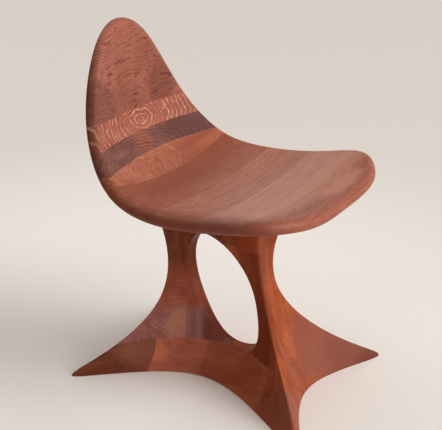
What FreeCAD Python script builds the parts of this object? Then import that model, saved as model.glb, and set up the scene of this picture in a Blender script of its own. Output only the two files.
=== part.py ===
import FreeCAD, Part
import math
import os

# Carved wooden chair: a glued-up shell of seat and back on a star-footed base with two posts.
# Millimetres. +Z is up, the sitter faces -Y, and the origin is on the floor between the feet.

Vector = FreeCAD.Vector
Rotation = FreeCAD.Rotation
Placement = FreeCAD.Placement

doc = FreeCAD.newDocument("carved_chair")
sheet = doc.addObject("Spreadsheet::Sheet", "sizes")

SIZES = {
    # Seat and back: the centre line of the top face, from the front edge to the crest
    "seat_height": 441.5,
    "seat_low_y": 40.0,
    "front_edge_y": 302.0,
    "front_edge_rise": 25.5,
    "thigh_y": 120.0,
    "thigh_rise": 8.5,
    "bend_start_y": 145.0,
    "bend_start_rise": 21.5,
    "bend_end_y": 201.0,
    "bend_end_rise": 74.5,
    "lumbar_y": 237.5,
    "lumbar_rise": 158.5,
    "crest_y": 261.0,
    "crest_rise": 356.5,
    # Hollow across the shell, measured at the side of the blank, which is wider than the seat
    "blank_margin": 14.0,
    "seat_hollow": 27.0,
    "bend_hollow": 41.0,
    "back_hollow": 48.0,
    # Outline of the shell, seen square to a plane that leans back at 45 degrees
    "outline_front": 132.0,
    "outline_crest": 739.0,
    "front_edge_half_width": 140.0,
    "front_corner_half_width": 228.0,
    "seat_half_width": 271.0,
    "thigh_half_width": 270.0,
    "waist_half_width": 263.0,
    "hip_half_width": 229.0,
    "back_half_width": 174.5,
    "shoulder_half_width": 115.0,
    "crest_half_width": 62.0,
    # Thickness and rounded rim of the shell
    "shell_thickness": 26.0,
    "rim_top_round": 16.5,
    "rim_under_round": 8.0,
    # Base: ridges that run from the toes up the posts, as they would meet the floor before the toes are blunted
    "saddle_cover": 3.0,
    "saddle_tilt": 3.2,
    "toe_height": 10.0,
    "front_toe_half_width": 240.0,
    "rear_toe_half_width": 238.0,
    "post_half_width": 31.0,
    "post_waist_height": 245.0,
    "saddle_half_width": 126.0,
    "toe_front_y": 295.0,
    "front_post_y": 95.0,
    "front_waist_height": 290.0,
    "saddle_front_y": 126.0,
    "toe_rear_y": 299.0,
    "rear_post_y": 138.5,
    "rear_waist_height": 225.0,
    "saddle_rear_y": 144.0,
    # Base: hollows between the ridges
    "side_waist_half_width": 77.5,
    "side_web_half_width": 12.0,
    "side_hollow_height": 200.0,
    "saddle_side_half_width": 70.0,
    "side_hollow_y": 22.0,
    "side_waist_y": 10.0,
    "front_valley_depth": 79.0,
    "rear_valley_depth": 65.0,
    "ridge_round": 17.0,
    "saddle_round": 48.0,
    "front_toe_round": 120.0,
    "rear_toe_round": 56.0,
    # Leaning oval opening between the posts
    "oval_half_width": 76.0,
    "oval_half_length": 146.0,
    "oval_y": 0.0,
    "oval_height": 195.0,
    "oval_lean": 26.6,
    "oval_taper": 0.05,
    "oval_round": 8.5,
    # Shallow relief under the base, so that it stands on its toes
    "relief_depth": 1.5,
    "relief_half_length": 210.0,
    # Glue joints of the shell, along Y and below or above the lowest point of the seat
    "seat_joint_drop": 36.5,
    "front_plank_joint": 188.0,
    "middle_plank_joint": 80.0,
    "rear_plank_joint": 28.0,
    "back_joint": 137.0,
    "middle_board_rise": 58.5,
    "upper_board_rise": 99.5,
    "crest_board_rise": 146.5,
    # Glue joints of the base
    "web_joint": 66.0,
    "root_joint": 165.0,
    "saddle_joint": 318.0,
    "foot_board_joint": 147.0,
    "web_split": 40.0,
    "cheek_joint": 92.0,
    "post_split": 40.0,
    "root_split": 40.0,
    # Dowels, tongues and tenons inside the joints
    "glue_gap": 0.3,
    "back_dowel_radius": 3.5,
    "back_dowel_length": 16.0,
    "back_dowel_inner_x": 40.0,
    "back_dowel_outer_x": 110.0,
    "back_dowel_depth": 14.5,
    "tongue_length": 200.0,
    "tongue_width": 24.0,
    "tongue_thickness": 6.0,
    "front_tenon_y": 30.0,
    "rear_tenon_y": 84.0,
    "tenon_width": 48.0,
    "tenon_thickness": 14.0,
    "tenon_depth": 38.0,
    "tenon_length": 56.0,
    "base_dowel_radius": 5.0,
    "base_dowel_length": 50.0,
    "post_dowel_x": 13.0,
    "post_dowel_inset": 18.0,
    "root_dowel_setback": 30.0,
    "foot_dowel_x": 45.0,
    "web_dowel_x": 22.0,
    "foot_dowel_height": 28.0,
}

for row, (alias, value) in enumerate(SIZES.items(), start=1):
    sheet.set("A%d" % row, alias)
    sheet.set("B%d" % row, str(value))
    sheet.setAlias("B%d" % row, alias)
doc.recompute()


def size(alias):
    """Value of one named cell of the sheet."""
    return float(sheet.get(alias))


def blend(start, end, share, power):
    """Value that leaves start slowly and reaches end when share is 1."""
    return start + (end - start) * max(share, 0.0) ** power


def interpolated(points, closed=False):
    """Smooth spline through the given points."""
    curve = Part.BSplineCurve()
    curve.interpolate(Points=points, PeriodicFlag=closed)
    return curve


# Shell of the seat and the back

SLANT = Rotation(Vector(1, 0, 0), 45)

# Outline: where its half widths are set, as shares of the way from the front edge to the crest
OUTLINE_SHARES = {
    "front_edge_half_width": 0.011,
    "front_corner_half_width": 0.062,
    "seat_half_width": 0.128,
    "thigh_half_width": 0.198,
    "waist_half_width": 0.33,
    "hip_half_width": 0.53,
    "back_half_width": 0.734,
    "shoulder_half_width": 0.89,
    "crest_half_width": 0.97,
}
blank_half_width = max(size(name) for name in OUTLINE_SHARES) + size("blank_margin")


def centre_line():
    """Points of the top face on the plane of symmetry, from the front edge to the crest."""
    seat = size("seat_height")
    return [
        Vector(0, -size("front_edge_y"), seat + size("front_edge_rise")),
        Vector(0, -size("thigh_y"), seat + size("thigh_rise")),
        Vector(0, size("seat_low_y"), seat),
        Vector(0, size("bend_start_y"), seat + size("bend_start_rise")),
        Vector(0, size("bend_end_y"), seat + size("bend_end_rise")),
        Vector(0, size("lumbar_y"), seat + size("lumbar_rise")),
        Vector(0, size("crest_y"), seat + size("crest_rise")),
    ]


def profile_sketch(name, side):
    """Sketch of the top face's line at the centre (side 0) or at a side of the blank (side 1 or -1)."""
    points = centre_line()
    middle = interpolated(points)
    hollows = [size("seat_hollow")] * 3 + [size("bend_hollow")] + [size("back_hollow")] * 3
    raised = []
    for point, hollow in zip(points, hollows):
        along = middle.tangent(middle.parameter(point))[0]
        upward = Vector(0, -along.z, along.y)
        raised.append(point + upward * (hollow * abs(side)))
    sketch = doc.addObject("Sketcher::SketchObject", name)
    flat = [Vector(point.y, point.z, 0) for point in raised]
    sketch.addGeometry(interpolated(flat))
    upright = Rotation(Vector(0, 1, 0), Vector(0, 0, 1), Vector(1, 0, 0), "ZXY")
    sketch.Placement = Placement(Vector(side * blank_half_width, 0, 0), upright)
    return sketch


top_face = doc.addObject("Part::Loft", "top_face")
top_face.Sections = [profile_sketch("profile_%d" % index, side) for index, side in enumerate((1, 0, -1))]
top_face.Solid = False
top_face.Ruled = False

front = size("outline_front")
length = size("outline_crest") - front
right_side = [Vector(size(name), front + share * length, 0) for name, share in OUTLINE_SHARES.items()]
left_side = [Vector(-point.x, point.y, 0) for point in reversed(right_side)]
outline = doc.addObject("Sketcher::SketchObject", "outline")
ring = [Vector(0, front, 0)] + right_side + [Vector(0, front + length, 0)] + left_side
outline.addGeometry(interpolated(ring, closed=True))
outline.Placement = Placement(Vector(0, 0, 0), SLANT)

outline_prism = doc.addObject("Part::Extrusion", "outline_prism")
outline_prism.Base = outline
outline_prism.DirMode = "Normal"
outline_prism.Solid = True
outline_prism.setExpression("LengthFwd", "2 * sizes.outline_crest")
outline_prism.setExpression("LengthRev", "2 * sizes.outline_crest")

trimmed_face = doc.addObject("Part::Common", "trimmed_face")
trimmed_face.Base = top_face
trimmed_face.Tool = outline_prism

shell_blank = doc.addObject("Part::Offset", "shell_blank")
shell_blank.Source = trimmed_face
shell_blank.Fill = True
shell_blank.setExpression("Value", "-sizes.shell_thickness")
doc.recompute()


def round_shell_rim(blank):
    """Rounded rim: a wide roll above and a smaller one below."""
    rim_edges = [index for index, edge in enumerate(blank.Shape.Edges, start=1) if edge.Closed]
    rim_edges.sort(key=lambda index: blank.Shape.Edges[index - 1].CenterOfMass.z)
    under, above = rim_edges
    rounded = doc.addObject("Part::Fillet", "shell")
    rounded.Base = blank
    rounded.Edges = [
        (above, size("rim_top_round"), size("rim_top_round")),
        (under, size("rim_under_round"), size("rim_under_round")),
    ]
    return rounded


shell = round_shell_rim(shell_blank)

# Base: a star section that narrows from the toes to the posts and flares into the saddle

base_height = size("seat_height") - size("saddle_cover")


def flare(level, waist_height, sizes_up, powers):
    """Size at a height that shrinks from the floor to a waist and grows again to the saddle.

    The sizes are those at the floor, the waist and the saddle. A higher power makes a sharper flare.
    """
    at_floor, at_waist, at_saddle = sizes_up
    floor_power, saddle_power = powers
    if level < waist_height:
        return blend(at_waist, at_floor, 1 - level / waist_height, floor_power)
    share = (level - waist_height) / (base_height - waist_height)
    return blend(at_waist, at_saddle, share, saddle_power)


def drawn_in(start, end, middle, spread):
    """Curve from start to end whose middle is drawn in to a point; a spread widens it round that point."""
    anchor = (middle - (start + end) / 8) * (4 / 3)
    along = (end - start).normalize() * spread
    curve = Part.BezierCurve()
    curve.setPoles([start, anchor - along, anchor + along, end])
    return curve


def cut_back(curve, at_start, at_end):
    """Curve shortened by about these distances at its ends, to leave room for the rounded ridges."""
    poles = curve.getPoles()
    first = at_start / (3 * poles[0].distanceToPoint(poles[1]))
    last = at_end / (3 * poles[3].distanceToPoint(poles[2]))
    curve.segment(first, 1 - last)
    return curve


# Shares of a ridge's rounding: its distance from the sharp corner along X and Y, and its curve's pull
RIDGE_SETBACK = 0.32
RIDGE_REACH = 0.62

# Powers of each flare, below and above its waist
WIDTH_FLARE = (1.9, 2.1)
FRONT_FLARE = (2.0, 2.0)
REAR_FLARE = (2.4, 2.0)
SIDE_FLARE = (6.5, 2.2)
VALLEY_FLARE = (1.85, 1.0)
ROUND_FLARE = (2.5, 1.6)

# Above the floor the side hollows widen to a share of the distance between their ridges, with this power,
# and follow a share of the oval's lean
SIDE_SPREAD = 0.26
SPREAD_POWER = 4.0
LEAN_SHARE = 0.3


def rounded_ridge(before, after, distance):
    """Rounded corner that joins the end of one side to the start of the next."""
    reach = RIDGE_REACH * distance
    end = before.getPoles()[3]
    start = after.getPoles()[0]
    leaving = (end - before.getPoles()[2]).normalize()
    arriving = (after.getPoles()[1] - start).normalize()
    corner = Part.BezierCurve()
    corner.setPoles([end, end + leaving * reach, start - arriving * reach, start])
    return corner


def star_section(level):
    """Closed ring of curves of the base at a height: four hollow sides and four rounded ridges."""
    waist = size("post_waist_height")
    lift = math.hypot(level, size("toe_height"))
    front_half, rear_half = [
        flare(lift, waist, (size(toe), size("post_half_width"), size("saddle_half_width")), WIDTH_FLARE)
        for toe in ("front_toe_half_width", "rear_toe_half_width")
    ]
    front_sizes = (size("toe_front_y"), size("front_post_y"), size("saddle_front_y"))
    front_y = flare(lift, size("front_waist_height"), front_sizes, FRONT_FLARE)
    rear_sizes = (size("toe_rear_y"), size("rear_post_y"), size("saddle_rear_y"))
    rear_y = flare(lift, size("rear_waist_height"), rear_sizes, REAR_FLARE)
    side_sizes = (size("side_waist_half_width"), size("side_web_half_width"), size("saddle_side_half_width"))
    side = flare(level, size("side_hollow_height"), side_sizes, SIDE_FLARE)
    front_valley, rear_valley = [
        flare(lift, waist, (size(valley), 0.0, 0.0), VALLEY_FLARE)
        for valley in ("front_valley_depth", "rear_valley_depth")
    ]
    front_round, rear_round = [
        flare(level, waist, (size(toe), size("ridge_round"), size("saddle_round")), ROUND_FLARE)
        for toe in ("front_toe_round", "rear_toe_round")
    ]
    front_spread = RIDGE_SETBACK * front_round
    rear_spread = RIDGE_SETBACK * rear_round
    corners = [
        Vector(front_half + front_spread, -front_y - front_spread),
        Vector(rear_half + rear_spread, rear_y + rear_spread),
        Vector(-rear_half - rear_spread, rear_y + rear_spread),
        Vector(-front_half - front_spread, -front_y - front_spread),
    ]
    above_floor = 1 - max(1 - level / size("side_hollow_height"), 0.0) ** SPREAD_POWER
    slope = LEAN_SHARE * math.tan(math.radians(size("oval_lean")))
    waist_y = size("side_waist_y") + slope * (level - size("oval_height"))
    side_y = size("side_hollow_y") + (waist_y - size("side_hollow_y")) * above_floor
    side_spread = SIDE_SPREAD * (front_y + rear_y) * above_floor
    middles = [
        Vector(side, side_y),
        Vector(0, rear_y - rear_valley),
        Vector(-side, side_y),
        Vector(0, front_valley - front_y),
    ]
    rounds = [front_round, rear_round, rear_round, front_round]
    spreads = [side_spread, 0.0, side_spread, 0.0]
    sides = []
    for index, middle in enumerate(middles):
        following = (index + 1) % 4
        curve = drawn_in(corners[index], corners[following], middle, spreads[index])
        sides.append(cut_back(curve, rounds[index], rounds[following]))
    ring = []
    for index, side_curve in enumerate(sides):
        following = (index + 1) % 4
        ring += [side_curve, rounded_ridge(side_curve, sides[following], rounds[following])]
    return ring


def origin_plane(body, role):
    """Base plane of a body by its role."""
    return next(plane for plane in body.Origin.OriginFeatures if plane.Role == role)


def section_sketch(body, index, level, tilt):
    """Sketch of the star section at a height, on a plane that may tilt up to the rear."""
    sketch = body.newObject("Sketcher::SketchObject", "star_%d" % index)
    sketch.AttachmentSupport = (origin_plane(body, "XY_Plane"), "")
    sketch.MapMode = "FlatFace"
    sketch.AttachmentOffset = Placement(Vector(0, 0, level), Rotation(Vector(1, 0, 0), tilt))
    sketch.addGeometry([curve.toBSpline() for curve in star_section(level)])
    return sketch


SECTION_SHARES = (0.0, 0.018, 0.04, 0.07, 0.11, 0.17, 0.26, 0.37, 0.5, 0.64, 0.78, 0.9, 1.0)

base_body = doc.addObject("PartDesign::Body", "base_body")
levels = [share * base_height for share in SECTION_SHARES]
tilts = [0.0] * (len(levels) - 1) + [size("saddle_tilt")]
sections = [section_sketch(base_body, index, level, tilt)
            for index, (level, tilt) in enumerate(zip(levels, tilts))]
base_loft = base_body.newObject("PartDesign::AdditiveLoft", "base_loft")
base_loft.Profile = sections[0]
base_loft.Sections = sections[1:]
doc.recompute()

oval = base_body.newObject("Sketcher::SketchObject", "oval")
oval.AttachmentSupport = (origin_plane(base_body, "YZ_Plane"), "")
oval.MapMode = "FlatFace"
lean = math.radians(size("oval_lean"))
oval_centre = Vector(size("oval_y"), size("oval_height"), 0)
up_the_oval = Vector(math.sin(lean), math.cos(lean), 0)
across_the_oval = Vector(math.cos(lean), -math.sin(lean), 0)
OVAL_POINTS = 12
oval_ring = []
for index in range(OVAL_POINTS):
    turn = 2 * math.pi * index / OVAL_POINTS
    half_width = size("oval_half_width") * (1 - size("oval_taper") * math.cos(turn))
    along = up_the_oval * (size("oval_half_length") * math.cos(turn))
    oval_ring.append(oval_centre + along + across_the_oval * (half_width * math.sin(turn)))
oval.addGeometry(interpolated(oval_ring, closed=True))
opening = base_body.newObject("PartDesign::Pocket", "opening")
opening.Profile = oval
opening.Type = "ThroughAll"
opening.Midplane = True
opening.Refine = True
doc.recompute()

opening_rim = base_body.newObject("PartDesign::Fillet", "opening_rim")
rim_names = ["Edge%d" % index for index, edge in enumerate(opening.Shape.Edges, start=1)
             if edge.Closed and abs(edge.CenterOfMass.x) > size("oval_round")]
opening_rim.Base = (opening, rim_names)
opening_rim.setExpression("Radius", "sizes.oval_round")
doc.recompute()

# Shallow hollow under the base between the front and the rear toes
relief = doc.addObject("Part::Cylinder", "relief")
relief_radius = "(sizes.relief_half_length^2 + sizes.relief_depth^2) / (2 * sizes.relief_depth)"
relief.setExpression("Radius", relief_radius)
relief.setExpression("Height", "4 * sizes.front_toe_half_width")
relief.Placement = Placement(Vector(0, 0, 0), Rotation(Vector(0, 1, 0), 90))
relief.setExpression("Placement.Base.x", "-2 * sizes.front_toe_half_width")
relief.setExpression("Placement.Base.z", "sizes.relief_depth - " + relief_radius)

base_form = doc.addObject("Part::Cut", "base_form")
base_form.Base = base_body
base_form.Tool = relief

carved_form = doc.addObject("Part::Fuse", "carved_form")
carved_form.Base = shell
carved_form.Tool = base_form
carved_form.Refine = False
doc.recompute()

# Joinery inside the glue joints: loose dowels, tongues and tenons in sockets

UP = Vector(0, 0, 1)
BACKWARD = Vector(0, 1, 0)


def crossings(start, end):
    """Points where a straight line meets the surface of the form, in order from its start."""
    touching = Part.makeLine(start, end).distToShape(carved_form.Shape)[1]
    return sorted((pair[0] for pair in touching), key=start.distanceToPoint)


def crossings_along_y(x, z):
    """Crossings of a line that runs from the front to the rear."""
    reach = 2 * size("toe_front_y")
    return crossings(Vector(x, -reach, z), Vector(x, reach, z))


def crossings_downward(x, y):
    """Crossings of a line that drops from above the chair to the floor."""
    return crossings(Vector(x, y, 2 * size("outline_crest")), Vector(x, y, 0))


class Joinery:
    """A group of alike loose pieces, each with its own socket."""

    def __init__(self, label):
        self.label = label
        self.pieces = []
        self.sockets = []

    def add_dowel(self, middle, direction, radius, length):
        """Dowel through a joint, with named cells for its radius and length; glue surrounds it."""
        place = Placement(middle - direction * (size(length) / 2), Rotation(UP, direction))
        for group, gap in ((self.pieces, "0"), (self.sockets, "sizes.glue_gap")):
            dowel = doc.addObject("Part::Cylinder", self.label + "_piece")
            dowel.setExpression("Radius", "sizes.%s + %s" % (radius, gap))
            dowel.setExpression("Height", "sizes." + length)
            dowel.Placement = place
            group.append(dowel)

    def add_block(self, middle, extents):
        """Flat tongue or tenon about its middle, with named cells for its three extents."""
        half = Vector(*[size(cell) / 2 for cell in extents])
        for group in (self.pieces, self.sockets):
            block = doc.addObject("Part::Box", self.label + "_piece")
            for side, cell in zip(("Length", "Width", "Height"), extents):
                block.setExpression(side, "sizes." + cell)
            block.Placement = Placement(middle - half, Rotation())
            group.append(block)

    def assembled(self):
        """One object that holds all the loose pieces."""
        group = doc.addObject("Part::Compound", self.label)
        group.Links = self.pieces
        return group


back_dowels = Joinery("back_dowels")
for offset in (size("back_dowel_inner_x"), size("back_dowel_outer_x")):
    for x in (-offset, offset):
        seat_top = crossings_downward(x, size("back_joint"))[0]
        joint_middle = seat_top - UP * size("back_dowel_depth")
        back_dowels.add_dowel(joint_middle, BACKWARD, "back_dowel_radius", "back_dowel_length")
        for rise in ("middle_board_rise", "upper_board_rise", "crest_board_rise"):
            inner, outer = crossings_along_y(x, size("seat_height") + size(rise))[-2:]
            back_dowels.add_dowel((inner + outer) / 2, UP, "back_dowel_radius", "back_dowel_length")

seat_tongues = Joinery("seat_tongues")
for y in (-size("front_plank_joint"), -size("middle_plank_joint"), size("rear_plank_joint")):
    seat_top = crossings_downward(0, y)[0]
    tongue_middle = seat_top - UP * (size("shell_thickness") / 2)
    seat_tongues.add_block(tongue_middle, ("tongue_length", "tongue_width", "tongue_thickness"))

seat_tenons = Joinery("seat_tenons")
seat_joint = size("seat_height") - size("seat_joint_drop")
tenon_height = seat_joint - size("tenon_depth") + size("tenon_length") / 2
for y in (-size("front_tenon_y"), size("rear_tenon_y")):
    seat_tenons.add_block(Vector(0, y, tenon_height), ("tenon_width", "tenon_thickness", "tenon_length"))

base_dowels = Joinery("base_dowels")


def add_dowel_pair(offset, y, z, direction):
    """Two alike dowels, left and right, through a joint of the base."""
    for x in (-offset, offset):
        base_dowels.add_dowel(Vector(x, y, z), direction, "base_dowel_radius", "base_dowel_length")


post_dowel_x = size("post_dowel_x")
foot_dowel_x = size("foot_dowel_x")
foot_height = size("foot_dowel_height")
for joint in ("root_joint", "saddle_joint"):
    faces = crossings_along_y(post_dowel_x, size(joint))
    add_dowel_pair(post_dowel_x, faces[0].y + size("post_dowel_inset"), size(joint), UP)
    add_dowel_pair(post_dowel_x, faces[-1].y - size("post_dowel_inset"), size(joint), UP)
root_dowel_y = size("foot_board_joint") - size("root_dowel_setback")
add_dowel_pair(post_dowel_x, -root_dowel_y, size("web_joint"), UP)
add_dowel_pair(post_dowel_x, root_dowel_y, size("web_joint"), UP)
add_dowel_pair(foot_dowel_x, -size("foot_board_joint"), foot_height, BACKWARD)
add_dowel_pair(foot_dowel_x, size("foot_board_joint"), foot_height, BACKWARD)
add_dowel_pair(size("web_dowel_x"), size("web_split"), foot_height, BACKWARD)
cheek_middle = Vector(0, size("cheek_joint"), (size("web_joint") + size("root_joint")) / 2)
base_dowels.add_dowel(cheek_middle, BACKWARD, "base_dowel_radius", "base_dowel_length")
doc.recompute()

joinery = (back_dowels, seat_tongues, seat_tenons, base_dowels)
all_sockets = [socket for group in joinery for socket in group.sockets]

# Boards and blocks: the form between two distances along Y and two heights, less the sockets


def board(label, front_y, rear_y, low_z, high_z):
    """Piece of the form between joint planes, each given as an expression on the sheet."""
    slab = doc.addObject("Part::Box", label + "_slab")
    slab.setExpression("Length", "4 * sizes.seat_half_width")
    slab.setExpression("Width", "(%s) - (%s)" % (rear_y, front_y))
    slab.setExpression("Height", "(%s) - (%s)" % (high_z, low_z))
    slab.setExpression("Placement.Base.x", "-2 * sizes.seat_half_width")
    slab.setExpression("Placement.Base.y", front_y)
    slab.setExpression("Placement.Base.z", low_z)
    blank = doc.addObject("Part::Common", label + "_blank")
    blank.Base = carved_form
    blank.Tool = slab
    blank.Refine = False
    doc.recompute()
    own_sockets = doc.addObject("Part::Compound", label + "_sockets")
    room = blank.Shape.BoundBox
    own_sockets.Links = [socket for socket in all_sockets if room.intersect(socket.Shape.BoundBox)]
    piece = doc.addObject("Part::Cut", label)
    piece.Base = blank
    piece.Tool = own_sockets
    piece.Refine = False
    return piece


FRONT = "-2 * sizes.toe_front_y"
REAR = "2 * sizes.toe_front_y"
FLOOR = "0"
TOP = "2 * sizes.outline_crest"
SEAT = "sizes.seat_height - sizes.seat_joint_drop"
FRONT_PLANK = "-sizes.front_plank_joint"
MIDDLE_PLANK = "-sizes.middle_plank_joint"
REAR_PLANK = "sizes.rear_plank_joint"
BACK = "sizes.back_joint"
MIDDLE_BOARD = "sizes.seat_height + sizes.middle_board_rise"
UPPER_BOARD = "sizes.seat_height + sizes.upper_board_rise"
CREST_BOARD = "sizes.seat_height + sizes.crest_board_rise"
SADDLE = "sizes.saddle_joint"
ROOT = "sizes.root_joint"
WEB = "sizes.web_joint"
CHEEK = "sizes.cheek_joint"
POST_SPLIT = "sizes.post_split"
ROOT_SPLIT = "-sizes.root_split"
FRONT_FOOT = "-sizes.foot_board_joint"
REAR_FOOT = "sizes.foot_board_joint"
WEB_SPLIT = "sizes.web_split"

pieces = [
    board("seat_front_plank", FRONT, FRONT_PLANK, SEAT, TOP),
    board("seat_middle_front_plank", FRONT_PLANK, MIDDLE_PLANK, SEAT, TOP),
    board("seat_middle_rear_plank", MIDDLE_PLANK, REAR_PLANK, SEAT, TOP),
    board("seat_rear_plank", REAR_PLANK, BACK, SEAT, TOP),
    board("back_board_lower", BACK, REAR, SEAT, MIDDLE_BOARD),
    board("back_board_middle", BACK, REAR, MIDDLE_BOARD, UPPER_BOARD),
    board("back_board_upper", BACK, REAR, UPPER_BOARD, CREST_BOARD),
    board("back_crest_board", BACK, REAR, CREST_BOARD, TOP),
    board("saddle", FRONT, REAR, SADDLE, SEAT),
    board("front_post", FRONT, POST_SPLIT, ROOT, SADDLE),
    board("rear_post", POST_SPLIT, REAR, ROOT, SADDLE),
    board("front_post_root", FRONT, ROOT_SPLIT, WEB, ROOT),
    board("rear_post_cheek", ROOT_SPLIT, CHEEK, WEB, ROOT),
    board("rear_post_root", CHEEK, REAR, WEB, ROOT),
    board("front_foot_board", FRONT, FRONT_FOOT, FLOOR, WEB),
    board("front_web_board", FRONT_FOOT, WEB_SPLIT, FLOOR, WEB),
    board("rear_web_board", WEB_SPLIT, REAR_FOOT, FLOOR, WEB),
    board("rear_foot_board", REAR_FOOT, REAR, FLOOR, WEB),
]
pieces += [group.assembled() for group in joinery]
doc.recompute()

failed = [item.Label for item in doc.Objects if "Invalid" in item.State or "Error" in item.State]
failed += [item.Label for item in pieces if item.Shape.isNull() or not item.Shape.isValid()]
if failed:
    raise RuntimeError("not built: " + ", ".join(failed))

os.makedirs("parts", exist_ok=True)
for piece in pieces:
    piece.Shape.exportStep("parts/%s.step" % piece.Label)
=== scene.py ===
"""Carved wooden chair: the look of its glued boards and blocks, with a studio and a camera."""
import logging
import math
from abc import ABC, abstractmethod
from dataclasses import dataclass
from enum import Enum
from typing import ClassVar, Optional, Union

import bmesh
import bpy
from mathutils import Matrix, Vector

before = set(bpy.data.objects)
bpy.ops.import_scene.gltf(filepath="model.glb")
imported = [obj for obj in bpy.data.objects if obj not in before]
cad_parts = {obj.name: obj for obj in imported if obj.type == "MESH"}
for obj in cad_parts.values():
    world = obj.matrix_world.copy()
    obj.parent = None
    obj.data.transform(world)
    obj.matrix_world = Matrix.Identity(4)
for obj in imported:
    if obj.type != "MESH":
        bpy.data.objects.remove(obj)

LOG = logging.getLogger("carved_chair")

Pair = tuple[float, float]
Triple = tuple[float, float, float]
Colour = tuple[float, float, float, float]
Key = Union[int, str]
Settings = dict[str, object]
Inputs = dict[Key, object]
Nodes = dict[str, bpy.types.Object]


def paint(red: int, green: int, blue: int) -> Colour:
    """Turn a colour as it is seen on a screen into the linear colour that a shader takes.

    Args:
        red: red part, 0 to 255.
        green: green part, 0 to 255.
        blue: blue part, 0 to 255.

    Returns:
        The linear colour with full alpha.
    """
    parts = [part / 255 for part in (red, green, blue)]
    linear = [part / 12.92 if part <= 0.04045 else ((part + 0.055) / 1.055) ** 2.4 for part in parts]
    return (linear[0], linear[1], linear[2], 1.0)


def turned(x: float, y: float, z: float) -> Triple:
    """Give three angles in radians from degrees."""
    return (math.radians(x), math.radians(y), math.radians(z))


class Socket:
    """A shader output that takes part in Python arithmetic."""

    def __init__(self, graph: "ShaderGraph", output: bpy.types.NodeSocket) -> None:
        """Keep the output and the graph that it belongs to."""
        self.graph = graph
        self.output = output

    def _math(self, operation: str, *values: "Value") -> "Socket":
        """Add one Math node on these values."""
        return self.graph.node("ShaderNodeMath", {"operation": operation}, dict(enumerate(values)))

    def __add__(self, other: "Value") -> "Socket":
        """Add a value."""
        return self._math("ADD", self, other)

    __radd__ = __add__

    def __sub__(self, other: "Value") -> "Socket":
        """Take a value away."""
        return self._math("SUBTRACT", self, other)

    def __rsub__(self, other: "Value") -> "Socket":
        """Take this away from a value."""
        return self._math("SUBTRACT", other, self)

    def __mul__(self, other: "Value") -> "Socket":
        """Multiply by a value."""
        return self._math("MULTIPLY", self, other)

    __rmul__ = __mul__

    def __abs__(self) -> "Socket":
        """Drop the sign."""
        return self._math("ABSOLUTE", self)

    def fraction(self) -> "Socket":
        """Keep what stands after the point."""
        return self._math("FRACT", self)

    def rise(self, low: float, high: float) -> "Socket":
        """Climb smoothly from 0 at low to 1 at high.

        Args:
            low: where the climb starts.
            high: where it ends; below low, it falls instead.

        Returns:
            The climb, held between 0 and 1.
        """
        return self.graph.node(
            "ShaderNodeMapRange",
            {"interpolation_type": "SMOOTHSTEP", "clamp": True},
            {"Value": self, "From Min": low, "From Max": high},
            "Result",
        )


Value = Union[Socket, float]


class ShaderGraph:
    """A node tree that is filled from Python expressions."""

    def __init__(self, tree: bpy.types.NodeTree) -> None:
        """Empty the tree and keep it."""
        tree.nodes.clear()
        self.tree = tree

    @staticmethod
    def _find(sockets: bpy.types.bpy_prop_collection, key: Key) -> bpy.types.NodeSocket:
        """Pick a socket by its place, its identifier or its name."""
        if isinstance(key, int):
            return sockets[key]
        return next((socket for socket in sockets if socket.identifier == key), None) or sockets[key]

    def node(self, kind: str, settings: Settings, inputs: Inputs, output: Key = 0) -> Socket:
        """Add a node.

        Args:
            kind: the node's type.
            settings: its own settings, which are set first.
            inputs: values or sockets for its inputs.
            output: which of its outputs to return.

        Returns:
            That output.
        """
        made = self.tree.nodes.new(kind)
        for name, value in settings.items():
            setattr(made, name, value)
        for key, value in inputs.items():
            socket = self._find(made.inputs, key)
            if isinstance(value, Socket):
                self.tree.links.new(value.output, socket)
            else:
                socket.default_value = value
        return Socket(self, self._find(made.outputs, output))

    def end(self, kind: str, surface: Socket) -> None:
        """Close the tree with an output node of this type."""
        made = self.tree.nodes.new(kind)
        self.tree.links.new(surface.output, made.inputs["Surface"])

    def place(self) -> Socket:
        """Give the point on the object, in metres."""
        return self.node("ShaderNodeTexCoord", {}, {}, "Object")

    def laid(self, point: Socket, centre: Triple, turn: Triple, scale: Triple) -> Socket:
        """Give a point in a frame of its own.

        Args:
            point: the point on the object.
            centre: where that frame starts.
            turn: how it is turned, in radians.
            scale: the length of one unit along each of its axes, in metres.

        Returns:
            The point in that frame.
        """
        return self.node(
            "ShaderNodeMapping",
            {"vector_type": "TEXTURE"},
            {"Vector": point, "Location": centre, "Rotation": turn, "Scale": scale},
        )

    def noise(self, point: Socket, scale: float, detail: float, distortion: float = 0.0) -> Socket:
        """Give soft noise between 0 and 1.

        Args:
            point: where to read it.
            scale: how many waves there are in one unit.
            detail: how many finer layers are added.
            distortion: how far it curls round itself.

        Returns:
            The noise.
        """
        return self.node(
            "ShaderNodeTexNoise",
            {"noise_dimensions": "3D"},
            {"Vector": point, "Scale": scale, "Detail": detail, "Distortion": distortion},
            "Fac",
        )

    def length(self, point: Socket) -> Socket:
        """Give a point's distance from the start of its frame."""
        return self.node("ShaderNodeVectorMath", {"operation": "LENGTH"}, {0: point}, "Value")

    def blend(self, share: Value, first: Union[Socket, Colour], second: Union[Socket, Colour]) -> Socket:
        """Mix two colours.

        Args:
            share: how much of the second colour is taken.
            first: the first colour.
            second: the second colour.

        Returns:
            The mixed colour.
        """
        return self.node(
            "ShaderNodeMix",
            {"data_type": "RGBA", "clamp_factor": True},
            {"Factor_Float": share, "A_Color": first, "B_Color": second},
            "Result_Color",
        )


def blank(name: str) -> tuple[bpy.types.Material, ShaderGraph]:
    """Make a new material and its empty shader."""
    material = bpy.data.materials.new(name)
    material.use_nodes = True
    return material, ShaderGraph(material.node_tree)


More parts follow.
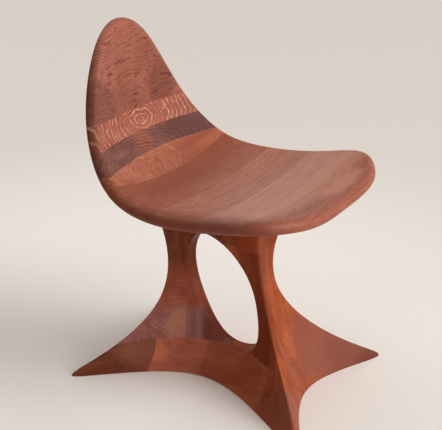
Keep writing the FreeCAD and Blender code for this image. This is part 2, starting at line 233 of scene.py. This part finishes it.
class Grain(Enum):
    """Which way the fibres of a piece run: how the X axis is turned onto them, in degrees."""

    ACROSS = (0.0, 0.0, 0.0)
    UPRIGHT = (0.0, 90.0, 0.0)
    LENGTHWAYS = (0.0, 0.0, 90.0)
    REAR_TOES = (0.0, 0.0, 140.0)


@dataclass(frozen=True)
class RingLines:
    """The lines where one growth ring ends and the next one starts.

    The heart is their centre, gap is the distance between two of them along each axis, and lean turns them
    about X, in degrees. They stray from true rings by wander times a gap, in waves of so many gaps. Width is
    a share of a gap. Reach is how many gaps out they end, and half way to it they start to fade.
    """

    UNEVENNESS: ClassVar[float] = 1.3
    UNEVEN_RATE: ClassVar[float] = 0.5
    STRAY_DETAIL: ClassVar[float] = 2.5
    STRAY_CURL: ClassVar[float] = 0.4
    FRAY: ClassVar[float] = 0.35
    FRAY_RATE: ClassVar[float] = 420.0
    BREAK_RATE: ClassVar[float] = 45.0
    BREAK_EDGES: ClassVar[Pair] = (0.34, 0.62)
    FAINTEST: ClassVar[float] = 0.25
    FADE_FROM: ClassVar[float] = 0.5

    colour: Colour
    heart: Triple
    gap: Triple
    lean: float = 0.0
    wander: float = 1.5
    wave: float = 3.3
    width: float = 0.4
    strength: float = 0.5
    reach: float = 400.0

    def over(self, graph: ShaderGraph, point: Socket, colour: Socket) -> Socket:
        """Lay the lines over a colour.

        Args:
            graph: the shader that they are part of.
            point: the point on the piece.
            colour: the colour under them.

        Returns:
            The colour with its lines.
        """
        board = graph.laid(point, self.heart, turned(self.lean, 0, 0), self.gap)
        away = graph.length(board)
        uneven = self.UNEVENNESS * graph.noise(away, self.UNEVEN_RATE, detail=0.0)
        stray = self.wander * graph.noise(board, 1 / self.wave, self.STRAY_DETAIL, self.STRAY_CURL)
        fray = self.FRAY * graph.noise(point, self.FRAY_RATE, detail=1.0)
        ring = away + uneven + stray + fray
        from_middle = abs(ring.fraction() - 0.5) * 2.0
        line = from_middle.rise(self.width, 0.0)
        breaks = graph.noise(point, self.BREAK_RATE, detail=2.0).rise(*self.BREAK_EDGES)
        broken = self.FAINTEST + (1 - self.FAINTEST) * breaks
        shown = away.rise(self.reach, self.FADE_FROM * self.reach)
        return graph.blend(line * broken * shown * self.strength, colour, self.colour)


@dataclass(frozen=True)
class Patch:
    """A soft spot of another colour on a piece, such as a darker end. Tilt turns it about Y, in degrees."""

    RAGGEDNESS: ClassVar[float] = 0.5
    RAGGED_RATE: ClassVar[float] = 55.0
    FULL_WITHIN: ClassVar[float] = 0.35

    colour: Colour
    centre: Triple
    reach: Triple
    strength: float
    tilt: float = 0.0

    def over(self, graph: ShaderGraph, point: Socket, colour: Socket) -> Socket:
        """Lay the spot over a colour.

        Args:
            graph: the shader that it is part of.
            point: the point on the piece.
            colour: the colour under it.

        Returns:
            The colour with its spot.
        """
        away = graph.length(graph.laid(point, self.centre, turned(0, self.tilt, 0), self.reach))
        ragged = away + self.RAGGEDNESS * (graph.noise(point, self.RAGGED_RATE, detail=2.0) - 0.5)
        return graph.blend(ragged.rise(1.0, self.FULL_WITHIN) * self.strength, colour, self.colour)


@dataclass(frozen=True)
class WoodFinish:
    """Oiled hardwood, cut from one solid pattern that runs through the piece.

    The streaks are bands of light and dark wood and the pores are fine open lines: each has its length, depth
    and width in metres.
    """

    PATTERN_START: ClassVar[Triple] = (0.3, 0.1, 0.2)
    STREAK_DETAIL: ClassVar[float] = 3.0
    STREAK_EDGES: ClassVar[Pair] = (0.32, 0.68)
    PORE_DETAIL: ClassVar[float] = 2.0
    PORE_EDGES: ClassVar[Pair] = (0.52, 0.74)
    PORE_DEPTH: ClassVar[float] = 0.0003
    RELIEF: ClassVar[float] = 0.25
    ROUGHNESS: ClassVar[float] = 0.38
    ROUGHNESS_SPREAD: ClassVar[float] = 0.08
    REFRACTION: ClassVar[float] = 1.45

    light: Colour
    dark: Colour
    pore: Colour
    grain: Grain = Grain.ACROSS
    streak_size: Triple = (0.40, 0.018, 0.018)
    pore_size: Triple = (0.075, 0.0042, 0.0042)
    pore_strength: float = 0.4
    lines: Optional[RingLines] = None
    patches: tuple[Patch, ...] = ()
    gloss: float = 0.03

    def make(self, name: str) -> bpy.types.Material:
        """Build the material.

        Args:
            name: the name of the piece.

        Returns:
            The material.
        """
        material, graph = blank(name + "_wood")
        point = graph.place()
        streaks = self._fibres(graph, point, self.streak_size, self.STREAK_DETAIL).rise(*self.STREAK_EDGES)
        pores = self._fibres(graph, point, self.pore_size, self.PORE_DETAIL).rise(*self.PORE_EDGES)
        colour = graph.blend(streaks, self.dark, self.light)
        colour = graph.blend(pores * self.pore_strength, colour, self.pore)
        for patch in self.patches:
            colour = patch.over(graph, point, colour)
        if self.lines:
            colour = self.lines.over(graph, point, colour)
        relief = graph.node(
            "ShaderNodeBump",
            {},
            {"Strength": self.RELIEF, "Distance": self.PORE_DEPTH, "Height": 1 - pores},
            "Normal",
        )
        surface = graph.node(
            "ShaderNodeBsdfPrincipled",
            {},
            {
                "Base Color": colour,
                "Roughness": self.ROUGHNESS + self.ROUGHNESS_SPREAD * (0.5 - streaks),
                "Normal": relief,
                "IOR": self.REFRACTION,
                "Specular IOR Level": self.gloss,
            },
            "BSDF",
        )
        graph.end("ShaderNodeOutputMaterial", surface)
        return material

    def _fibres(self, graph: ShaderGraph, point: Socket, size: Triple, detail: float) -> Socket:
        """Give noise that is drawn out along the fibres.

        Args:
            graph: the shader that it is part of.
            point: the point on the piece.
            size: the length, depth and width of one wave in metres.
            detail: how many finer layers are added.

        Returns:
            The noise.
        """
        board = graph.laid(point, self.PATTERN_START, turned(*self.grain.value), size)
        return graph.noise(board, scale=1.0, detail=detail)


CREAM = paint(226, 172, 142)
PALE_PORE = paint(190, 132, 110)
RED_PORE = paint(176, 108, 82)
DARK_LINE = paint(84, 44, 36)


@dataclass
class Assembly(ABC):
    """Pieces of the chair that are dressed together."""

    nodes: Nodes

    @abstractmethod
    def finishes(self) -> dict[str, WoodFinish]:
        """Give each piece's wood by the piece's name."""

    def dress(self) -> None:
        """Put each piece's wood on it."""
        for name, finish in self.finishes().items():
            self.nodes[name].material_slots[0].material = finish.make(name)
            LOG.info("dressed %s", name)


@dataclass
class SeatAndBack(Assembly):
    """The carved shell: four seat planks and four back boards, glued edge to edge."""

    seat_streaks: Triple = (0.28, 0.004, 0.004)
    seat_pores: Triple = (0.06, 0.0022, 0.0022)
    crest_streaks: Triple = (0.09, 0.05, 0.05)
    seat_gloss: float = 0.2
    back_gloss: float = 0.12

    def finishes(self) -> dict[str, WoodFinish]:
        """Give each board's wood by the board's name."""
        return self._seat() | self._back()

    def _seat(self) -> dict[str, WoodFinish]:
        """Give the woods of the seat's planks, whose fibres run from side to side."""
        # The middle planks' paler, greyer colours are partly the wood's own tone and partly painted sheen.
        colours = {
            "seat_front_plank": (paint(158, 88, 64), paint(142, 76, 55)),
            "seat_middle_front_plank": (paint(187, 127, 109), paint(170, 112, 93)),
            "seat_middle_rear_plank": (paint(171, 110, 88), paint(154, 94, 75)),
            "seat_rear_plank": (paint(158, 95, 75), paint(142, 82, 62)),
        }
        # Painted shade: the seat's edge on the -X side, turned away from the lights, is darkened in its
        # colour.
        painted_edge_shade = Patch(paint(116, 57, 39), (-0.32, -0.05, 0.45), (0.14, 0.5, 0.3), 0.85)
        dark_bend = Patch(paint(132, 66, 44), (0.0, 0.15, 0.45), (0.5, 0.13, 0.2), 0.85)
        pale_joint = Patch(paint(186, 126, 104), (0.05, -0.188, 0.45), (0.5, 0.05, 0.2), 0.65)
        # Painted sheen: a pale place on the front plank where light glances off near its front edge.
        painted_front_sheen = Patch(paint(190, 126, 106), (0.08, -0.235, 0.465), (0.12, 0.03, 0.05), 0.7)
        return {
            name: WoodFinish(
                light, dark, PALE_PORE, streak_size=self.seat_streaks, pore_size=self.seat_pores,
                patches=(dark_bend, pale_joint, painted_front_sheen, painted_edge_shade), gloss=self.seat_gloss,
            )
            for name, (light, dark) in colours.items()
        }

    def _back(self) -> dict[str, WoodFinish]:
        """Give the woods of the back's boards, which show their rings."""
        lower_rings = RingLines(
            CREAM, (-0.075, 0.165, 0.481), (0.0095, 0.02, 0.0042), lean=-55, wander=1.4, width=0.5,
            strength=0.42, reach=21.0,
        )
        middle_rings = RingLines(
            DARK_LINE, (-0.06, 0.178, 0.485), (0.018, 0.03, 0.0072), lean=-35, wander=1.8, width=0.6,
            strength=0.8,
        )
        upper_rings = RingLines(
            CREAM, (0.002, 0.225, 0.562), (0.015, 0.03, 0.0085), lean=-23, wander=2.4, strength=0.7,
            reach=17.0,
        )
        crest_curls = RingLines(
            DARK_LINE, (0.06, 0.23, 0.42), (0.016, 0.03, 0.0085), lean=-8, wander=8.0, wave=6.0, width=0.5,
            strength=0.75,
        )
        # Painted shade in the bend where the seat turns up into the back.
        painted_bend_shade = Patch(paint(140, 74, 52), (0.05, 0.14, 0.445), (0.5, 0.035, 0.035), 0.8)
        orange_spot = Patch(paint(158, 88, 66), (-0.02, 0.195, 0.525), (0.05, 0.06, 0.03), 0.7)
        dark_end = Patch(paint(96, 55, 48), (0.14, 0.19, 0.53), (0.13, 0.1, 0.08), 0.8)
        near_cloud = Patch(paint(122, 70, 58), (-0.12, 0.22, 0.61), (0.08, 0.1, 0.09), 0.7)
        far_cloud = Patch(paint(122, 70, 58), (0.1, 0.23, 0.62), (0.07, 0.1, 0.08), 0.7)
        middle_cloud = Patch(paint(138, 80, 66), (-0.01, 0.24, 0.615), (0.07, 0.08, 0.04), 0.7)
        pale_top = Patch(paint(178, 108, 88), (-0.03, 0.256, 0.75), (0.1, 0.1, 0.08), 0.35)
        # Painted shade: the back's rim on the -X side, turned away from the lights, is darkened in its
        # colour.
        painted_rim_shade = Patch(paint(88, 44, 30), (-0.208, 0.2, 0.58), (0.04, 0.4, 0.45), 0.85, tilt=28)
        return {
            "back_board_lower": WoodFinish(
                paint(162, 91, 67), paint(145, 76, 56), RED_PORE, pore_strength=0.15, lines=lower_rings,
                patches=(painted_bend_shade, painted_rim_shade), gloss=self.back_gloss,
            ),
            "back_board_middle": WoodFinish(
                paint(129, 84, 73), paint(110, 68, 61), RED_PORE, pore_strength=0.12, lines=middle_rings,
                patches=(orange_spot, dark_end, painted_rim_shade), gloss=self.back_gloss,
            ),
            "back_board_upper": WoodFinish(
                paint(159, 91, 73), paint(144, 77, 60), RED_PORE, pore_strength=0.12, lines=upper_rings,
                patches=(painted_rim_shade,), gloss=self.back_gloss,
            ),
            "back_crest_board": WoodFinish(
                paint(166, 99, 81), paint(150, 88, 69), RED_PORE, streak_size=self.crest_streaks,
                pore_strength=0.15, lines=crest_curls,
                patches=(near_cloud, far_cloud, middle_cloud, pale_top, painted_rim_shade), gloss=self.back_gloss,
            ),
        }


@dataclass
class Base(Assembly):
    """The carved base: the saddle, two posts with their roots, two webs and two foot boards."""

    fleck_size: Triple = (0.02, 0.005, 0.005)

    def finishes(self) -> dict[str, WoodFinish]:
        """Give each block's wood by the block's name."""
        return self._posts() | self._feet()

    @staticmethod
    def _front_tones() -> tuple[Patch, ...]:
        """Give the changes of colour that run on over the joints of the front blocks, with painted shade on
        one toe.
        """
        dusky_side = Patch(paint(144, 84, 69), (0.08, -0.19, 0.07), (0.11, 0.13, 0.13), 0.85)
        orange_valley = Patch(paint(184, 100, 68), (0.008, -0.155, 0.09), (0.018, 0.05, 0.08), 0.5)
        dusky_ridge = Patch(paint(160, 92, 74), (-0.035, -0.17, 0.08), (0.02, 0.06, 0.12), 0.6)
        # Painted shade: the front foot's toe on the +X side is darkened in its colour.
        painted_toe_shade = Patch(paint(131, 77, 64), (0.16, -0.25, 0.02), (0.13, 0.11, 0.1), 0.9)
        dark_tip = Patch(paint(112, 62, 48), (0.21, -0.29, 0.0), (0.08, 0.07, 0.06), 0.85)
        return (dusky_side, orange_valley, dusky_ridge, painted_toe_shade, dark_tip)

    def _posts(self) -> dict[str, WoodFinish]:
        """Give the woods of the saddle, the posts and their roots, whose fibres stand upright."""
        # Painted shade: the saddle and the rear post stand in the seat's shadow, and their browns are
        # darkened for it.
        painted_shade_brown = paint(126, 68, 45)
        painted_shade_deep_brown = paint(106, 54, 36)
        orange = paint(158, 80, 54)
        # Painted shade: the front post's side towards -X, away from the key light, is darkened in its colour.
        painted_flank_shade = Patch(paint(116, 49, 29), (-0.06, -0.1, 0.2), (0.07, 0.1, 0.4), 0.8)
        red_front = Patch(paint(148, 66, 38), (0.0, -0.12, 0.36), (0.25, 0.13, 0.2), 0.9)
        orange_foot = Patch(orange, (-0.03, 0.12, 0.18), (0.08, 0.1, 0.09), 0.8)
        orange_top = Patch(orange, (-0.03, 0.1, 0.175), (0.12, 0.16, 0.05), 0.9)
        pale_hollow = Patch(paint(186, 120, 102), (-0.04, 0.1, 0.1), (0.05, 0.06, 0.07), 0.8)
        dark_hollow = Patch(paint(112, 52, 38), (-0.015, 0.03, 0.09), (0.05, 0.035, 0.12), 0.7)
        core = Patch(paint(122, 57, 37), (0.012, 0.05, 0.2), (0.032, 0.5, 0.5), 0.85)
        rear_arcs = RingLines(
            CREAM, (-0.06, 0.10, 0.14), (0.03, 0.012, 0.0045), width=0.6, strength=0.25, reach=22.0,
        )
        root_stripes = RingLines(CREAM, (-0.05, -0.21, 0.47), (0.08, 0.005, 0.005), width=0.6, strength=0.3)
        front = WoodFinish(
            paint(167, 85, 51), paint(144, 70, 41), CREAM, Grain.UPRIGHT, pore_size=self.fleck_size,
            pore_strength=0.1, patches=(painted_flank_shade, *self._front_tones()),
        )
        return {
            "saddle": WoodFinish(
                painted_shade_brown, painted_shade_deep_brown, RED_PORE, Grain.UPRIGHT, pore_strength=0.2, patches=(red_front,),
            ),
            "front_post": front,
            "front_post_root": front,
            "rear_post": WoodFinish(
                painted_shade_brown, painted_shade_deep_brown, RED_PORE, Grain.UPRIGHT, pore_strength=0.2, lines=rear_arcs,
                patches=(core, orange_foot),
            ),
            # The root's and the cheek's greyer colours are partly the wood's own tone and partly painted
            # sheen.
            "rear_post_root": WoodFinish(
                paint(150, 91, 87), paint(130, 77, 73), RED_PORE, Grain.UPRIGHT, pore_strength=0.15,
                lines=root_stripes, patches=(pale_hollow, orange_top),
            ),
            "rear_post_cheek": WoodFinish(
                paint(156, 106, 97), paint(141, 94, 85), RED_PORE, Grain.UPRIGHT, pore_strength=0.15,
                patches=(core, orange_top, dark_hollow),
            ),
        }

    def _feet(self) -> dict[str, WoodFinish]:
        """Give the woods of the webs and the foot boards."""
        pale_end = Patch(paint(208, 118, 86), (-0.08, 0.14, 0.035), (0.05, 0.03, 0.03), 0.7)
        near_toe = Patch(paint(142, 80, 62), (-0.2, -0.27, 0.02), (0.16, 0.16, 0.12), 0.85)
        pale_top = Patch(paint(160, 98, 80), (-0.1, 0.17, 0.05), (0.09, 0.09, 0.07), 0.5)
        front_arcs = RingLines(
            CREAM, (-0.02, 0.07, 0.02), (0.05, 0.006, 0.010), width=0.6, strength=0.1, reach=60.0,
        )
        rear_flames = RingLines(
            paint(172, 96, 62), (-0.1, 0.1, -0.06), (0.02, 0.03, 0.008), wander=5.0, wave=7.0, width=0.9,
            strength=0.4,
        )
        return {
            "front_web_board": WoodFinish(
                paint(171, 92, 61), paint(151, 74, 50), RED_PORE, Grain.LENGTHWAYS, pore_strength=0.15,
                lines=front_arcs,
            ),
            "rear_web_board": WoodFinish(
                paint(184, 105, 84), paint(162, 89, 69), RED_PORE, Grain.LENGTHWAYS, pore_strength=0.2,
                lines=rear_flames, patches=(pale_end,),
            ),
            "front_foot_board": WoodFinish(
                paint(156, 80, 55), paint(135, 66, 44), CREAM, Grain.UPRIGHT, pore_size=self.fleck_size,
                pore_strength=0.07, patches=(*self._front_tones(), near_toe),
            ),
            "rear_foot_board": WoodFinish(
                paint(119, 64, 45), paint(100, 50, 35), RED_PORE, Grain.REAR_TOES, pore_strength=0.2,
                patches=(pale_top,),
            ),
        }


@dataclass
class Joinery(Assembly):
    """The dowels, tongues and tenons inside the glue joints, of a plainer pale wood."""

    groups: tuple[str, ...] = ("back_dowels", "seat_tongues", "seat_tenons", "base_dowels")
    light: Colour = paint(204, 168, 128)
    dark: Colour = paint(176, 138, 100)
    pore_size: Triple = (0.03, 0.001, 0.001)

    def finishes(self) -> dict[str, WoodFinish]:
        """Give the same pale wood for each group."""
        pale = WoodFinish(self.light, self.dark, self.dark, pore_size=self.pore_size)
        return {name: pale for name in self.groups}


@dataclass
class Studio:
    """A pale floor, a wide key light from the front, two soft lights, a dark flag and an even surround."""

    floor_radius: float = 30.0
    floor_sides: int = 96
    # Painted pool of light: the floor's colour is paler round the chair and fades to the far colour.
    floor_near: Colour = paint(243, 238, 232)
    floor_far: Colour = paint(225, 218, 211)
    floor_roughness: float = 0.9
    painted_pool_at: Triple = (0.03, 0.42, 0.0)
    painted_pool_edges: Pair = (0.5, 1.8)
    surround: Colour = paint(250, 246, 241)
    surround_strength: float = 0.63
    light_aim: Triple = (0.0, 0.0, 0.35)
    key_at: Triple = (1.05, -3.6, 2.7)
    key_spread: float = 45.0
    key_strength: float = 1.82
    rear_at: Triple = (0.5, 1.2, 2.2)
    rear_width: float = 1.2
    rear_power: float = 5.0
    fill_at: Triple = (0.3, -2.4, 1.5)
    fill_width: float = 1.4
    fill_power: float = 8.0
    flag_colour: Colour = paint(60, 50, 46)
    flag_roughness: float = 0.95
    flag_left: Pair = (-3.2, 1.2)
    flag_right: Pair = (0.6, 2.4)
    flag_bottom: float = 0.1
    flag_top: float = 2.4

    def build(self) -> None:
        """Make the floor, the lights, the dark flag and the surround."""
        self._floor()
        self._key_light()
        self._soft_light("rear_light", self.rear_at, self.rear_width, self.rear_power)
        self._soft_light("fill_light", self.fill_at, self.fill_width, self.fill_power)
        self._flag()
        self._surround()

    def _staged(self, name: str, shape: bmesh.types.BMesh, material: bpy.types.Material) -> bpy.types.Object:
        """Put a thing of the studio on the stage.

        Args:
            name: its name.
            shape: its faces, which are freed.
            material: what it is made of.

        Returns:
            The thing.
        """
        mesh = bpy.data.meshes.new(name)
        shape.to_mesh(mesh)
        shape.free()
        mesh.materials.append(material)
        thing = bpy.data.objects.new(name, mesh)
        bpy.context.scene.collection.objects.link(thing)
        return thing

    def _floor(self) -> None:
        """Lay the floor, with a painted pool of light that makes it a little paler round the chair."""
        material, graph = blank("floor_paper")
        painted_pool = graph.laid(graph.place(), self.painted_pool_at, turned(0, 0, 0), (1.0, 1.0, 1.0))
        away = graph.length(painted_pool).rise(*self.painted_pool_edges)
        colour = graph.blend(away, self.floor_near, self.floor_far)
        inputs = {"Base Color": colour, "Roughness": self.floor_roughness}
        paper = graph.node("ShaderNodeBsdfPrincipled", {}, inputs, "BSDF")
        graph.end("ShaderNodeOutputMaterial", paper)
        shape = bmesh.new()
        bmesh.ops.create_circle(shape, cap_ends=True, segments=self.floor_sides, radius=self.floor_radius)
        self._staged("floor", shape, material)

    def _hang(self, lamp: bpy.types.Light, place: Triple) -> None:
        """Hang a light that points at the middle of the chair.

        Args:
            lamp: the light.
            place: where it hangs.
        """
        hung = bpy.data.objects.new(lamp.name, lamp)
        hung.location = place
        hung.rotation_mode = "QUATERNION"
        hung.rotation_quaternion = (Vector(self.light_aim) - Vector(place)).to_track_quat("-Z", "Y")
        bpy.context.scene.collection.objects.link(hung)
        LOG.info("hung %s", lamp.name)

    def _key_light(self) -> None:
        """Light the chair and all of the floor from the front, with soft shadows."""
        lamp = bpy.data.lights.new("key_light", "SUN")
        lamp.angle = math.radians(self.key_spread)
        lamp.energy = self.key_strength
        self._hang(lamp, self.key_at)

    def _soft_light(self, name: str, place: Triple, width: float, power: float) -> None:
        """Hang a square soft light.

        Args:
            name: the light's name.
            place: where it hangs.
            width: its side in metres.
            power: its power in watts.
        """
        lamp = bpy.data.lights.new(name, "AREA")
        lamp.shape = "SQUARE"
        lamp.size = width
        lamp.energy = power
        self._hang(lamp, place)

    def _flag(self) -> None:
        """Stand a dark flag behind the chair, out of sight, that darkens the edges turned to it."""
        material, graph = blank("flag_cloth")
        inputs = {"Base Color": self.flag_colour, "Roughness": self.flag_roughness}
        cloth = graph.node("ShaderNodeBsdfPrincipled", {}, inputs, "BSDF")
        graph.end("ShaderNodeOutputMaterial", cloth)
        corners = (
            (*self.flag_left, self.flag_bottom),
            (*self.flag_right, self.flag_bottom),
            (*self.flag_right, self.flag_top),
            (*self.flag_left, self.flag_top),
        )
        shape = bmesh.new()
        shape.faces.new([shape.verts.new(corner) for corner in corners])
        flag = self._staged("flag", shape, material)
        flag.visible_camera = False

    def _surround(self) -> None:
        """Light the chair evenly from all round."""
        world = bpy.data.worlds.new("surround")
        world.use_nodes = True
        bpy.context.scene.world = world
        graph = ShaderGraph(world.node_tree)
        inputs = {"Color": self.surround, "Strength": self.surround_strength}
        light = graph.node("ShaderNodeBackground", {}, inputs)
        graph.end("ShaderNodeOutputWorld", light)


@dataclass
class PhotoCamera:
    """A camera that looks down at the chair's right front side."""

    aim: Triple = (-0.0078, 0.0129, 0.3757)
    distance: float = 2.2
    azimuth: float = -60.146
    elevation: float = 21.0
    lens: float = 81.477
    sensor: float = 36.0

    def place(self) -> None:
        """Make the camera and give it to the scene."""
        data = bpy.data.cameras.new("photo_camera")
        data.lens = self.lens
        data.sensor_width = self.sensor
        camera = bpy.data.objects.new("photo_camera", data)
        turn = math.radians(self.azimuth)
        tilt = math.radians(self.elevation)
        back = Vector((math.sin(turn) * math.cos(tilt), -math.cos(turn) * math.cos(tilt), math.sin(tilt)))
        camera.location = Vector(self.aim) + back * self.distance
        camera.rotation_mode = "QUATERNION"
        camera.rotation_quaternion = (-back).to_track_quat("-Z", "Y")
        bpy.context.scene.collection.objects.link(camera)
        bpy.context.scene.camera = camera
        LOG.info("placed the camera")


def main() -> None:
    """Dress the chair, then make the studio and the camera."""
    logging.basicConfig(level=logging.INFO, format="%(name)s: %(message)s")
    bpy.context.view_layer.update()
    bpy.context.scene.view_settings.view_transform = "Standard"
    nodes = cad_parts
    for assembly in (SeatAndBack(nodes), Base(nodes), Joinery(nodes)):
        assembly.dress()
    Studio().build()
    PhotoCamera().place()


if __name__ == "__main__":
    main()
